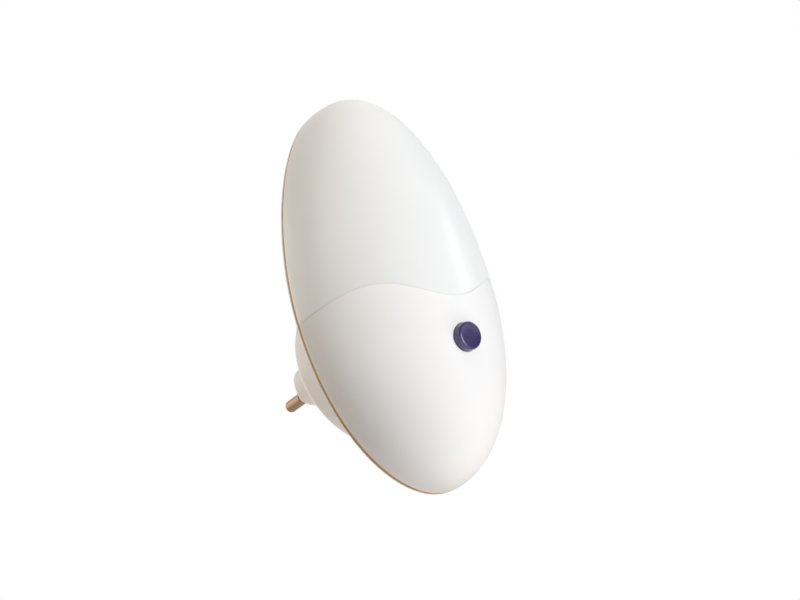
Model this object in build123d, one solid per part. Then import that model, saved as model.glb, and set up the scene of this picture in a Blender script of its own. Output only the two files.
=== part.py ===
from build123d import *
from math import cos, pi, radians, sin
import os

# Plug-in night light, in millimetres. +Z is up, -Y faces the room and +Y goes into the wall socket.
# The pieces are drawn about the centre of the shell's rim: the rim lies in the plane y = 0, the dome
# bulges to -Y and the plug leaves to +Y. They are written out about the middle of the plug's flat
# face, between the two pins, where the lamp meets its socket.

# ---------------------------------------------------------------- driving dimensions
# Front shell: an egg-shaped dome, cut along a wave into a lens and a cover
shell_height = 130.0
shell_width = 68.1
dome_depth = 32.7
wall = 1.8
egg_taper = 0.12        # how much wider the foot is than the top, as a share each side of the middle
dome_lean = 0.05        # how much deeper the top is than the foot, as a share each side of the middle
outline_power = 1.93    # roundness of the rim's outline: 2 is an ellipse
profile_powers = (2.57, 2.11)   # fullness of the upright middle profile
crown_powers = (2.0, 1.75)      # fullness of the level sections

# Wave between lens and cover
wave_middle = -15.0     # height of the dip above the button
wave_rise = 8.3
wave_crest = 25.5       # distance of each crest from the middle
wave_gap = 0.15
lip_wall = 1.2
lip_clearance = 0.1
lip_reach = 3.5

# Rear housing: back plate, round plug body and flat plug nose
rim_gap = 1.0
plate_lip = 0.6         # thickness of the plate's edge outside the gap
plate_lip_radius = 0.35
plate_thickness = 2.0   # inside the shell
tongue_height = 3.0
tongue_wall = 1.2
tongue_clearance = 0.3
drum_diameter = 56.0
drum_depth = 17.6       # from the rim to the round body's rear face
drum_wall = 2.0
drum_edge_radius = 3.0
drum_foot_radius = 1.5
plug_drop = 17.1        # height of the rim's centre above the plug's axis

# Flat two-pin plug
nose_length = 16.2
nose_width = 38.0
nose_height = 12.8
nose_corner_radius = 5.2
nose_flare = (3.5, 3.2)  # how far the nose widens at its foot, sideways and up
nose_edge_radius = 1.2
nose_wall = 2.2
nose_end_wall = 4.0
pin_spacing = 19.0
pin_diameter = 4.0
pin_length = 19.0
pin_tip_radius = 0.8
pin_neck_diameter = 3.0
pin_collar_diameter = 5.8
pin_collar_thickness = 1.5
pin_tail_diameter = 2.2
pin_tail_length = 6.0
pin_fit = 0.02
sleeve_length = 10.0
sleeve_diameter = 3.6
sleeve_root_diameter = 4.6      # where the sleeve stands in the nose's end wall
clamp_thickness = 1.8
clamp_clearance = 0.3

# Push button, along an axis square to the shell
button_height = -27.5   # height of the button's middle on the shell's face
button_tilt = 11.0      # how far the axis leans down, in degrees
button_diameter = 10.0
button_proud = 2.2
button_travel = 1.8
button_clearance = 0.1
button_edge_radius = 0.7
button_dish = 0.25
button_wall = 1.2
flange_diameter = 12.4
flange_thickness = 1.0
flange_clearance = 0.3
stop_gap = 0.3
shoulder_depth = 3.2    # from the shell's face to the stop inside the guide
guide_wall = 1.2
guide_depth = 7.6

# Push switch behind the button
switch_size = 8.5
switch_height = 7.0
switch_top = 14.0       # from the shell's face to the switch's lid
stem_diameter = 3.4
stem_collar_diameter = 5.4
stem_collar_thickness = 0.8
stem_collar_depth = 8.6
stem_socket_depth = 3.2
stem_clearance = 0.08
stem_overlap = 4.0      # how deep the stem stands in the switch at rest
spring_wire = 0.4
spring_turns = 5
terminal_size = (0.7, 0.4)
terminal_spacing = 2.5
terminal_length = 2.0

# Power board, square to the button's axis
board_thickness = 1.6
board_width = 42.0
board_top = 14.5
board_shoulder = -2.0
board_tab_width = 17.0
board_foot = -12.0
board_corner_radius = 1.5
board_screw = (17.5, 8.0)
post_diameter = 5.6
boss_diameter = 6.6
capacitor_size = (13.0, 7.0, 12.5)
capacitor_place = (-8.3, 9.8)
can_diameter = 8.0
can_height = 11.5
can_place = (8.6, 9.2)
rectifier_size = (8.4, 6.4, 3.2)
rectifier_place = (9.4, 0.6)
fuse_diameter = 3.2
fuse_length = 9.0
fuse_place = (-10.2, 1.2)
resistor_diameter = 2.4
resistor_length = 6.4
resistor_rows = (-5.4, -9.2)
lead_wire_diameter = 0.6
wire_sides = 6          # flats on the thin wires, which are drawn as prisms

# Screws
screw_shank = 2.6
screw_head = 5.0
screw_head_height = 1.8
screw_fit = 0.04        # how much wider a pilot is than the shank that it takes
screw_end_gap = 0.5     # room left beyond a screw's point
screw_hole = 3.1
well_place = (14.0, -16.4)      # from the plug's axis, sideways and up
well_wall = 1.4
well_floor = 2.0
well_depth = 13.2
well_clearance = 0.4
housing_screw_length = 10.0
board_screw_length = 7.0
clamp_screw_length = 4.0
lamp_screw_length = 5.5

# Reflector tray and lamp board behind the lens
tray_clearance = 1.0
tray_thickness = 1.2
tray_back = -3.2
tray_shelf_height = -3.0
tray_shelf_slope = 23.0
lamp_board_size = (26.0, 40.0)
lamp_board_middle = 27.0
lamp_screw_offset = 14.0
led_diameter = 5.0
led_height = 8.0
led_flange = 5.8
led_spacing = (15.0, 17.0)

# Insulated leads
lead_diameter = 1.6
lead_sides = 8          # flats on the leads, likewise
lead_bend = 2.5
lead_end_gap = 0.1      # solder between a lead's end and its pad
link_middle = 1.4       # the pair of link leads, sideways on the power board
link_spacing = 2.2
link_entry = 1.8        # height of the link leads above the lamp board's foot

# ---------------------------------------------------------------- worked out from them
half_height = shell_height / 2
pin_offset = pin_spacing / 2
nose_face = drum_depth + nose_length
drum_floor = drum_depth - drum_wall
plate_rear = rim_gap + plate_lip
lip_inner = wall + lip_clearance + lip_wall
tray_inset = lip_inner + tray_clearance
flange_top = shoulder_depth + stop_gap
board_front = switch_top + switch_height
board_rear = board_front + board_thickness
screw_pilot = screw_shank + screw_fit


def half_width(z, inset=0.0):
    """Half the width of the egg-shaped outline at height z."""
    share = min(1.0, abs(z) / (half_height - inset))
    egg = 1 - egg_taper * z / half_height
    return (shell_width / 2 - inset) * egg * (1 - share ** outline_power) ** (1 / outline_power)


def middle_depth(z, inset=0.0):
    """Depth of the dome's upright middle profile at height z."""
    share = min(1.0, abs(z) / (half_height - inset))
    lean = 1 + dome_lean * z / half_height
    power, root = profile_powers
    return (dome_depth - inset) * lean * (1 - share ** power) ** (1 / root)


def level_section(z, inset):
    """A level slice of the dome at height z: its crowned front closed by a straight back in the rim plane."""
    width = half_width(z, inset)
    depth = middle_depth(z, inset)
    power, root = crown_powers
    sines = [sin(radians(angle)) for angle in range(-90, 91, 15)]
    front = [(width * s, -depth * (1 - abs(s) ** power) ** (1 / root), z) for s in sines]
    crown = Spline(front, tangents=[(0, -1, 0), (0, 1, 0)])
    return make_face([crown, Line(front[-1], front[0])])


def slice_heights(inset):
    """Heights from foot to top, closer together towards the two ends."""
    upper = [(half_height - inset) * sin(radians(angle)) for angle in (0, 14, 28, 42, 55, 66, 75, 82, 87)]
    return [-z for z in reversed(upper[1:])] + upper


def dome(inset=0.0):
    """The solid egg-shaped dome, with its skin moved in by inset."""
    reach = half_height - inset
    slices = [level_section(z, inset) for z in slice_heights(inset)]
    return loft([Vertex(0, 0, -reach), *slices, Vertex(0, 0, reach)])


def oval_plate(inset, front, back):
    """A flat plate of the rim's outline, moved in by inset, between two depths."""
    reach = half_height - inset
    right = [(half_width(z, inset), front, z) for z in slice_heights(inset)]
    left = [(-x, y, z) for x, y, z in reversed(right)]
    outline = Spline([(0, front, -reach), *right, (0, front, reach), *left], periodic=True)
    return extrude(make_face([outline]), amount=back - front, dir=(0, 1, 0))


def wave_height(x):
    """Height of the joint between lens and cover."""
    return wave_middle + wave_rise * (1 - cos(pi * x / wave_crest)) / 2


def above_wave(shift):
    """Everything above the wave, moved up by shift."""
    steps = 6
    xs = [wave_crest * i / steps for i in range(-9, 10)]
    front = -dome_depth - 10
    wave = Spline([(x, front, wave_height(x) + shift) for x in xs])
    sky = shell_height
    corners = [(xs[-1], front, sky), (xs[0], front, sky)]
    sides = [
        Line(wave @ 1, corners[0]),
        Line(corners[0], corners[1]),
        Line(corners[1], wave @ 0),
    ]
    return extrude(make_face([wave, *sides]), amount=dome_depth + 20, dir=(0, 1, 0))


def wall_plane(y):
    """A plane square to the plug's axis at depth y, seen from behind: x to the lamp's left, y up."""
    return Plane(origin=(0, y, -plug_drop), x_dir=(-1, 0, 0), z_dir=(0, 1, 0))


def button_plane(depth, x=0.0, y=0.0):
    """A plane square to the button's axis, depth inside the shell's face, seen from behind."""
    tilt = radians(button_tilt)
    face = Plane(
        origin=(0, -middle_depth(button_height), button_height),
        x_dir=(-1, 0, 0),
        z_dir=(0, cos(tilt), sin(tilt)),
    )
    return Plane(origin=face.from_local_coords((x, y, depth)), x_dir=face.x_dir, z_dir=face.z_dir)


def rod(plane, diameter, length):
    """A round rod standing on plane."""
    return extrude(plane * Circle(diameter / 2), amount=length)


def turned(plane, points):
    """A solid turned about the plane's axis from (radius, height) points."""
    placed = [plane.from_local_coords((r, 0, h)) for r, h in points]
    return revolve(make_face(Polyline(*placed, close=True)), Axis(plane.origin, plane.z_dir))


def drawn_wire(path, diameter, sides):
    """A wire of many-sided section along a path."""
    section = RegularPolygon(diameter / 2, sides)
    return sweep(Plane(origin=path @ 0, z_dir=path % 0) * section, path=path)


def self_tapping_screw(plane, length):
    """A pan-head screw whose head sits on plane, its cross recess open to +Z and its point down -Z."""
    shank, head = screw_shank / 2, screw_head / 2
    body = turned(plane, [
        (0, -length),
        (shank * 0.3, -length),
        (shank, -length + screw_shank),
        (shank, 0),
        (head, 0),
        (head, screw_head_height * 0.45),
        (head * 0.62, screw_head_height),
        (0, screw_head_height),
    ])
    slot = (screw_head * 0.5, screw_head * 0.14)
    recess_plane = plane.offset(screw_head_height * 0.45)
    cross = Rectangle(*slot) + Rectangle(*reversed(slot))
    return body - extrude(recess_plane * cross, amount=screw_head_height)


# ---------------------------------------------------------------- front shell
def diffuser_lens():
    """The frosted upper shell, with a lip that slips behind the cover along the wave."""
    lens = (dome() - dome(lip_inner)) & above_wave(-lip_reach)
    below_joint = above_wave(-2 * lip_reach) - above_wave(wave_gap)
    lens -= below_joint - dome(wall + lip_clearance)
    lens -= dome(wall) & above_wave(lip_reach)
    tongue_room = tongue_height + tongue_clearance
    size = 2 * shell_height
    return lens - (dome(wall) & Pos(0, -tongue_room / 2, 0) * Box(size, tongue_room, size))


def front_cover(skin):
    """The lower shell: button bore and guide, posts for the power board, bosses for the housing screws."""
    lower = skin - above_wave(0)
    fillers = rod(button_plane(0), flange_diameter + 2 * (flange_clearance + guide_wall), guide_depth)
    for side in (-1, 1):
        across, up = board_screw
        fillers += rod(button_plane(0, side * across, up), post_diameter, board_front)
        fillers += rod(well_plane(side, -dome_depth), boss_diameter, dome_depth)
    cover = lower + (fillers & dome(wall / 2))
    for side in (-1, 1):
        cover += rod(well_plane(side, -wall), boss_diameter, wall + boss_end())
    cover -= rod(button_plane(-wall * 2), button_diameter + 2 * button_clearance, 4 * wall)
    cover -= rod(button_plane(shoulder_depth), flange_diameter + 2 * flange_clearance, guide_depth)
    for side in (-1, 1):
        across, up = board_screw
        pilot = button_plane(board_front, side * across, up).offset(-board_screw_length)
        cover -= rod(pilot, screw_pilot, board_screw_length)
        cover -= rod(well_plane(side, boss_end() - housing_screw_length), screw_pilot, housing_screw_length)
    return cover


def well_plane(side, y):
    """A plane square to a housing screw at depth y."""
    across, up = well_place
    return Plane(origin=(side * across, y, up - plug_drop), x_dir=(-1, 0, 0), z_dir=(0, 1, 0))


def boss_end():
    """Depth at which the cover's screw bosses meet the floors of the wells."""
    return drum_depth - well_depth - well_floor


# ---------------------------------------------------------------- rear housing
def plug_nose():
    """The flat plug nose: it flares into the round body and is rounded at its end."""
    sections = []
    for share, widening in ((0.0, 1.0), (0.2, 0.42), (0.45, 0.06), (1.0, 0.0)):
        width = nose_width + 2 * nose_flare[0] * widening
        height = nose_height + 2 * nose_flare[1] * widening
        corner = nose_corner_radius + nose_flare[1] * widening * 0.9
        sections.append(wall_plane(drum_depth - 0.5 + (nose_length + 0.5) * share)
                        * RectangleRounded(width, height, corner))
    nose = loft(sections)
    end = nose.faces().sort_by(Axis.Y)[-1]
    return fillet(end.edges(), nose_edge_radius)


def rear_housing():
    """Back plate, round body and plug nose in one moulding, open to the front."""
    lip = oval_plate(0, rim_gap, plate_rear)
    lip = fillet(lip.faces().sort_by(Axis.Y)[-1].edges(), plate_lip_radius)
    tongue_inset = wall + tongue_clearance
    plate_front = plate_rear - plate_thickness
    plate = oval_plate(tongue_inset, -tongue_height, rim_gap)
    plate -= oval_plate(tongue_inset + tongue_wall, -tongue_height, plate_front)

    radius = drum_diameter / 2
    foot = radius + 1.2 * drum_foot_radius
    profile = make_face(Polyline(
        (0, rim_gap), (foot, rim_gap), (foot, plate_rear), (radius, plate_rear),
        (radius, drum_depth), (0, drum_depth), close=True))
    roundings = (((radius, plate_rear), drum_foot_radius), ((radius, drum_depth), drum_edge_radius))
    for corner, rounding in roundings:
        profile = fillet(profile.vertices().sort_by_distance(corner)[0], rounding)
    drum = wall_plane(0) * (Rot(90, 0, 0) * revolve(profile, Axis.Y))

    housing = lip + plate + drum + plug_nose()
    housing -= rod(wall_plane(-tongue_height), drum_diameter - 2 * drum_wall, drum_floor + tongue_height)
    core = wall_plane(drum_floor - 1) * RectangleRounded(
        nose_width - 2 * nose_wall, nose_height - 2 * nose_wall, nose_corner_radius - nose_wall)
    housing -= extrude(core, amount=nose_face - nose_end_wall - drum_floor + 1)
    housing += rod(wall_plane(nose_face - nose_end_wall - pin_collar_thickness), screw_head, nose_end_wall)
    for side in (-1, 1):
        housing -= rod(pin_plane(side, nose_face - nose_end_wall - 1), sleeve_root_diameter + 2 * pin_fit,
                       nose_end_wall + 2)
    housing -= rod(wall_plane(clamp_face()), screw_pilot, clamp_screw_length + screw_end_gap)
    return add_wells_and_posts(housing)


def add_wells_and_posts(housing):
    """Screw wells sunk from the round body's rear face, and posts for the lamp board and tray."""
    bore = screw_head + 2 * well_clearance
    for side in (-1, 1):
        start = well_plane(side, boss_end())
        housing += rod(start, bore + 2 * well_wall, drum_floor + drum_wall / 2 - boss_end())
        housing -= rod(start.offset(well_floor), bore, well_depth + 1)
        housing -= rod(start.offset(-1), screw_hole, well_floor + 2)
    pilot_depth = lamp_screw_length - board_thickness - tray_thickness + screw_end_gap
    for place in lamp_screw_places():
        post = Plane(origin=(0, tray_back, place), x_dir=(-1, 0, 0), z_dir=(0, 1, 0))
        housing += rod(post, post_diameter, plate_rear - plate_thickness / 2 - tray_back)
        housing -= rod(post, screw_pilot, pilot_depth)
    return housing


# ---------------------------------------------------------------- plug pins
def pin_plane(side, y):
    return Plane(origin=(side * pin_offset, y, -plug_drop), x_dir=(-1, 0, 0), z_dir=(0, 1, 0))


def plug_pin(side):
    """A turned brass pin: solder tail, collar, neck under the sleeve, and bare end with a rounded tip."""
    base = pin_plane(side, nose_face)
    radius, neck = pin_diameter / 2, pin_neck_diameter / 2
    collar, tail = pin_collar_diameter / 2, pin_tail_diameter / 2
    collar_top = -nose_end_wall - pin_collar_thickness
    pin = turned(base, [
        (0, collar_top - pin_tail_length),
        (tail, collar_top - pin_tail_length),
        (tail, collar_top),
        (collar, collar_top),
        (collar, -nose_end_wall),
        (neck, -nose_end_wall),
        (neck, sleeve_length),
        (radius, sleeve_length),
        (radius, pin_length),
        (0, pin_length),
    ])
    tip = pin.faces().sort_by(Axis.Y)[-1]
    return fillet(tip.edges(), pin_tip_radius)


def pin_sleeve(side):
    """The insulating sleeve moulded round the pin's neck, thicker where the nose holds it."""
    root, outer, inner = sleeve_root_diameter / 2, sleeve_diameter / 2, pin_neck_diameter / 2
    return turned(pin_plane(side, nose_face), [
        (inner, -nose_end_wall),
        (root, -nose_end_wall),
        (root, 0),
        (outer, 0),
        (outer, sleeve_length),
        (inner, sleeve_length),
    ])


def clamp_face():
    """Depth of the front face of the plate that traps the pins' collars."""
    return nose_face - nose_end_wall - pin_collar_thickness - clamp_thickness


def pin_clamp():
    width = nose_width - 2 * nose_wall - 2 * clamp_clearance
    height = nose_height - 2 * nose_wall - 2 * clamp_clearance
    outline = RectangleRounded(width, height, nose_corner_radius - nose_wall - clamp_clearance)
    plate = extrude(wall_plane(clamp_face()) * outline, amount=clamp_thickness)
    for side in (-1, 1):
        plate -= rod(pin_plane(side, clamp_face() - 1), pin_tail_diameter + 0.4, clamp_thickness + 2)
    return plate - rod(wall_plane(clamp_face() - 1), screw_hole, clamp_thickness + 2)


def clamp_screw():
    head_side = Plane(origin=(0, clamp_face(), -plug_drop), x_dir=(1, 0, 0), z_dir=(0, -1, 0))
    return self_tapping_screw(head_side, clamp_screw_length)


# ---------------------------------------------------------------- button and switch
def button_cap():
    """The round cap: dished face, rounded edge, stop flange, and a socket for the switch's stem."""
    radius = button_diameter / 2
    face = button_plane(-button_proud)
    skirt = flange_top + button_proud
    total = stem_collar_depth + button_proud
    stem_seat = total - stem_socket_depth
    cap = turned(face, [
        (0, 0),
        (radius, 0),
        (radius, skirt),
        (flange_diameter / 2, skirt),
        (flange_diameter / 2, skirt + flange_thickness),
        (radius - button_wall, skirt + flange_thickness),
        (radius - button_wall, button_wall),
        (stem_collar_diameter / 2, button_wall),
        (stem_collar_diameter / 2, total),
        (stem_diameter / 2 + stem_clearance, total),
        (stem_diameter / 2 + stem_clearance, stem_seat),
        (0, stem_seat),
    ])
    front = cap.edges().filter_by(GeomType.CIRCLE).group_by(Axis(face.origin, face.z_dir))[0]
    cap = fillet(front.sort_by(SortBy.RADIUS)[-1:], button_edge_radius)
    dish_rim = radius - button_edge_radius - 0.4
    ball = (dish_rim ** 2 + button_dish ** 2) / (2 * button_dish)
    return cap - Pos(face.from_local_coords((0, 0, button_dish - ball))) * Sphere(ball)


def switch_plunger():
    """The switch's stem, with the collar that its spring bears on."""
    top = stem_collar_depth - stem_socket_depth + 0.1
    stem, collar = stem_diameter / 2, stem_collar_diameter / 2
    return turned(button_plane(0), [
        (0, top),
        (stem, top),
        (stem, stem_collar_depth),
        (collar, stem_collar_depth),
        (collar, stem_collar_depth + stem_collar_thickness),
        (stem, stem_collar_depth + stem_collar_thickness),
        (stem, switch_top + stem_overlap),
        (0, switch_top + stem_overlap),
    ])


def switch_spring():
    """The return spring between the stem's collar and the switch's lid."""
    top = stem_collar_depth + stem_collar_thickness + spring_wire / 2 + 0.02
    length = switch_top - spring_wire / 2 - 0.02 - top
    start = button_plane(top)
    radius = (stem_diameter + stem_collar_diameter) / 4
    coil = Helix(pitch=length / spring_turns, height=length, radius=radius)
    return start.location * drawn_wire(coil, spring_wire, wire_sides)


def switch_body():
    outline = RectangleRounded(switch_size, switch_size, 0.6)
    body = extrude(button_plane(switch_top) * outline, amount=switch_height)
    bore = stem_diameter + 2 * stem_clearance
    return body - rod(button_plane(switch_top - 1), bore, stem_overlap + button_travel + 1.4)


def switch_terminals():
    """Two rows of three terminals, through the board."""
    rows = [Pos(column * terminal_spacing, row * terminal_spacing) * Rectangle(*terminal_size)
            for column in (-1, 1) for row in (-1, 0, 1)]
    length = board_thickness + terminal_length
    return [extrude(button_plane(board_front) * pad, amount=length) for pad in rows]


# ---------------------------------------------------------------- power board and its components
def power_board():
    """A board with a narrow foot between the screw bosses, drilled for its screws and the switch."""
    height = board_top - board_shoulder
    tab_height = board_shoulder - board_foot
    outline = Pos(0, board_shoulder + height / 2) * Rectangle(board_width, height)
    outline += Pos(0, board_foot + (tab_height + 1) / 2) * Rectangle(board_tab_width, tab_height + 1)
    outline = fillet(outline.vertices(), board_corner_radius)
    for side in (-1, 1):
        outline -= Pos(side * board_screw[0], board_screw[1]) * Circle(screw_hole / 2)
    for column in (-1, 1):
        for row in (-1, 0, 1):
            slot = Rectangle(terminal_size[0] + 0.1, terminal_size[1] + 0.1)
            outline -= Pos(column * terminal_spacing, row * terminal_spacing) * slot
    return extrude(button_plane(board_front) * outline, amount=board_thickness)


def dropper_capacitor():
    width, height, depth = capacitor_size
    block = extrude(button_plane(board_rear, *capacitor_place) * RectangleRounded(width, height, 0.8),
                    amount=depth)
    return fillet(block.faces().sort_by(Axis.Y)[-1].edges(), 0.5)


def smoothing_capacitor():
    """An aluminium can with the groove pressed round its foot."""
    radius = can_diameter / 2
    groove = 0.35
    return turned(button_plane(board_rear, *can_place), [
        (0, 0),
        (radius - groove, 0),
        (radius, groove),
        (radius, 1.6),
        (radius - groove, 2.0),
        (radius, 2.4),
        (radius, can_height - groove),
        (radius - groove, can_height),
        (0, can_height),
    ])


def rectifier():
    width, height, depth = rectifier_size
    return extrude(button_plane(board_rear, *rectifier_place) * Rectangle(width, height), amount=depth,
                   taper=4)


def axial_part(place, diameter, length, lift):
    """A round axial component lying along the board, with its wires bent down into it."""
    centre = button_plane(board_rear + lift, *place)
    along = Plane(origin=centre.from_local_coords((-length / 2, 0, 0)), z_dir=centre.x_dir)
    radius, waist = diameter / 2, diameter / 2 * 0.86
    body = turned(along, [
        (0, 0), (radius * 0.8, 0), (radius, length * 0.14), (waist, length * 0.3), (waist, length * 0.7),
        (radius, length * 0.86), (radius * 0.8, length), (0, length),
    ])
    reach = length / 2 + 1.2
    for end in (-1, 1):
        bend = [(end * (length / 2 - 0.5), 0, 0), (end * reach, 0, 0), (end * reach, 0, -lift)]
        path = FilletPolyline(*[centre.from_local_coords(p) for p in bend], radius=lead_wire_diameter)
        body += drawn_wire(path, lead_wire_diameter, wire_sides)
    return body


def fusible_resistor():
    return axial_part(fuse_place, fuse_diameter, fuse_length, fuse_diameter / 2 + 0.3)


def resistors():
    return [axial_part((0, row), resistor_diameter, resistor_length, resistor_diameter / 2 + 0.3)
            for row in resistor_rows]


# ---------------------------------------------------------------- reflector tray and lamp board
def lamp_screw_places():
    return (lamp_board_middle - lamp_screw_offset, lamp_board_middle + lamp_screw_offset)


def tray_front():
    return tray_back - tray_thickness


def reflector_tray():
    """A white tray behind the lens, with a sloping shelf that closes the chamber over the power board."""
    room = dome(tray_inset)
    size = 2 * shell_height
    corner = (0, tray_back, tray_shelf_height)
    back = Pos(0, tray_front() + tray_thickness / 2, tray_shelf_height + size / 2) \
        * Box(size, tray_thickness, size)
    shelf = Pos(*corner) * Rot(tray_shelf_slope, 0, 0) * Pos(0, -size / 2, tray_thickness / 2) \
        * Box(size, size, tray_thickness)
    tray = (room & back) + (room & shelf)
    for place in lamp_screw_places():
        hole = Plane(origin=(0, tray_front() - 1, place), x_dir=(-1, 0, 0), z_dir=(0, 1, 0))
        tray -= rod(hole, screw_hole, tray_thickness + 2)
    return tray - link_hole(tray_front() - 1, tray_thickness + 2)


def link_hole(y, length):
    """The slot through which the two link leads reach the lamp board."""
    spot = Plane(origin=(-link_middle, y, lamp_board_foot() + link_entry), x_dir=(-1, 0, 0), z_dir=(0, 1, 0))
    height = lead_diameter + 0.8
    return extrude(spot * SlotOverall(link_spacing + height, height), amount=length)


def lamp_board_foot():
    return lamp_board_middle - lamp_board_size[1] / 2


def lamp_board():
    front = tray_front() - board_thickness
    face = Plane(origin=(0, front, lamp_board_middle), x_dir=(-1, 0, 0), z_dir=(0, 1, 0))
    outline = RectangleRounded(*lamp_board_size, board_corner_radius)
    for offset in (-lamp_screw_offset, lamp_screw_offset):
        outline -= Pos(0, offset) * Circle(screw_hole / 2)
    return extrude(face * outline, amount=board_thickness)


def leds():
    """Four domed lamps standing on the lamp board, facing the lens."""
    radius = led_diameter / 2
    across, up = (step / 2 for step in led_spacing)
    lamps = []
    for x in (-across, across):
        for z in (-up, up):
            seat = Plane(
                origin=(x, tray_front() - board_thickness, lamp_board_middle + z),
                x_dir=(1, 0, 0),
                z_dir=(0, -1, 0),
            )
            shaft = rod(seat, led_flange, 1.0) + rod(seat, led_diameter, led_height - radius)
            lamps.append(shaft + Pos(seat.offset(led_height - radius).origin) * Sphere(radius))
    return lamps


def lamp_screws():
    head_side = [Plane(origin=(0, tray_front() - board_thickness, place), x_dir=(1, 0, 0), z_dir=(0, -1, 0))
                 for place in lamp_screw_places()]
    return [self_tapping_screw(plane, lamp_screw_length) for plane in head_side]


def housing_screws():
    heads = [well_plane(side, drum_depth - well_depth) for side in (-1, 1)]
    return [self_tapping_screw(plane, housing_screw_length) for plane in heads]


def power_board_screws():
    across, up = board_screw
    heads = [button_plane(board_rear, side * across, up) for side in (-1, 1)]
    return [self_tapping_screw(plane, board_screw_length) for plane in heads]


# ---------------------------------------------------------------- leads
def lead(points):
    """An insulated lead along straight runs joined by bends."""
    path = FilletPolyline(*points, radius=lead_bend)
    return drawn_wire(path, lead_diameter, lead_sides)


def supply_lead(side):
    """From a pin's solder tail to the power board."""
    tail_end = nose_face - nose_end_wall - pin_collar_thickness - pin_tail_length
    pad = button_plane(board_rear, -side * board_screw[0], 1.0)
    start = Vector(side * pin_offset, tail_end - lead_end_gap, -plug_drop)
    land = pad.offset(lead_end_gap).origin
    above = pad.offset(6.0).origin
    return lead([start, start - Vector(0, 10, 0), above, land])


def link_lead(side):
    """From the power board's top edge up behind the tray to the lamp board."""
    pad = button_plane(board_rear, link_middle + side * link_spacing / 2, board_top - 1.4)
    start = pad.offset(lead_end_gap).origin
    behind = tray_back + 2.2
    height = lamp_board_foot() + link_entry
    out = Vector(start.X, behind, start.Z + 1.2)
    up = Vector(start.X, behind, height)
    end = Vector(start.X, tray_front() + lead_end_gap, height)
    return lead([start, out, up, end])


# ---------------------------------------------------------------- write the parts
shell_skin = dome() - dome(wall)
nodes = {
    "diffuser_lens": diffuser_lens(),
    "front_cover": front_cover(shell_skin),
    "rear_housing": rear_housing(),
    "left_pin": plug_pin(-1),
    "right_pin": plug_pin(1),
    "left_pin_sleeve": pin_sleeve(-1),
    "right_pin_sleeve": pin_sleeve(1),
    "pin_clamp": pin_clamp(),
    "pin_clamp_screw": clamp_screw(),
    "housing_screws": housing_screws(),
    "button_cap": button_cap(),
    "switch_plunger": switch_plunger(),
    "switch_spring": switch_spring(),
    "switch_body": switch_body(),
    "switch_terminals": switch_terminals(),
    "power_board": power_board(),
    "power_board_screws": power_board_screws(),
    "dropper_capacitor": dropper_capacitor(),
    "smoothing_capacitor": smoothing_capacitor(),
    "rectifier": rectifier(),
    "fusible_resistor": fusible_resistor(),
    "resistors": resistors(),
    "reflector_tray": reflector_tray(),
    "lamp_board": lamp_board(),
    "lamp_board_screws": lamp_screws(),
    "leds": leds(),
    "live_lead": supply_lead(-1),
    "neutral_lead": supply_lead(1),
    "lamp_live_lead": link_lead(-1),
    "lamp_return_lead": link_lead(1),
}

to_plug_face = Pos(0, -nose_face, plug_drop)
os.makedirs("parts", exist_ok=True)
for name, shape in nodes.items():
    solids = shape if isinstance(shape, list) else [shape]
    placed = [to_plug_face * solid for solid in solids]
    export_step(placed[0] if len(placed) == 1 else Compound(children=placed), f"parts/{name}.step")
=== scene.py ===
from math import cos, pi, radians, sin

import bmesh
import bpy
from mathutils import Matrix, Vector


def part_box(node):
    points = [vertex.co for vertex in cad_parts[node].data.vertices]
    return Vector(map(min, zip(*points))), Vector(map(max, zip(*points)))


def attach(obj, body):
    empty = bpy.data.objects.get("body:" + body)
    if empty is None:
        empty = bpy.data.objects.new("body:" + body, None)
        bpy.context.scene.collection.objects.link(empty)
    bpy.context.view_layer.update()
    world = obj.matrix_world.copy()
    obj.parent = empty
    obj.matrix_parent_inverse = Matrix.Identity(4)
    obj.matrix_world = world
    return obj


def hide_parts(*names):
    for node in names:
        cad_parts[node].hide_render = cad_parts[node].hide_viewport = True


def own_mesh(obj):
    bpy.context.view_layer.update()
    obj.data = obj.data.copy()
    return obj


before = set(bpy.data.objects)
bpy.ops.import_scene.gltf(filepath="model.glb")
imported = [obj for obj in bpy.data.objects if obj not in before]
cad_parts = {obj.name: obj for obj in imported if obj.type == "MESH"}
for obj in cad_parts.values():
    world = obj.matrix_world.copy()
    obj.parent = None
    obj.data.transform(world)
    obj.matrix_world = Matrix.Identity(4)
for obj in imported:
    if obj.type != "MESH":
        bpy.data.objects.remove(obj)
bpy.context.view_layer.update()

# Plug-in night light, in metres, about the middle of the plug's end face.
# Depths are measured from the rim of the shell, and heights on the shell from the rim's middle, RIM.
MM = 0.001
MERGE = 1e-6               # corners nearer than this are one corner
ON_AXIS = 1e-9             # a turned point nearer than this is on the axis
OVERLAP = 0.3 * MM         # how far joined solids reach into each other
lens_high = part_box("diffuser_lens")[1]
cover_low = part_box("front_cover")[0]
RIM = Vector((0, lens_high.y, (lens_high.z + cover_low.z) / 2))
PLUG_FACE = -RIM.y

SHELL = {
    "Height": lens_high.z - cover_low.z,
    "Width": 68.1 * MM,
    "Depth": 32.7 * MM,
    "Taper": 0.12,
    "Lean": 0.05,
    "Outline power": 1.93,
    "Profile power": 2.57,
    "Profile root": 2.11,
    "Crown power": 2.0,
    "Crown root": 1.75,
    "Wave middle": -15.0 * MM,
    "Wave rise": 8.3 * MM,
    "Wave crest": 25.5 * MM,
}
HALF_HEIGHT = SHELL["Height"] / 2
WALL = 1.8 * MM
WAVE_GAP = 0.05 * MM
WAVE_EDGE = 0.12 * MM
SKIN_GRID = 121            # rows and columns of corners in each half of the skin
SEAM_PASSES = 4            # the seam's height and the width there settle in this many passes

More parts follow.
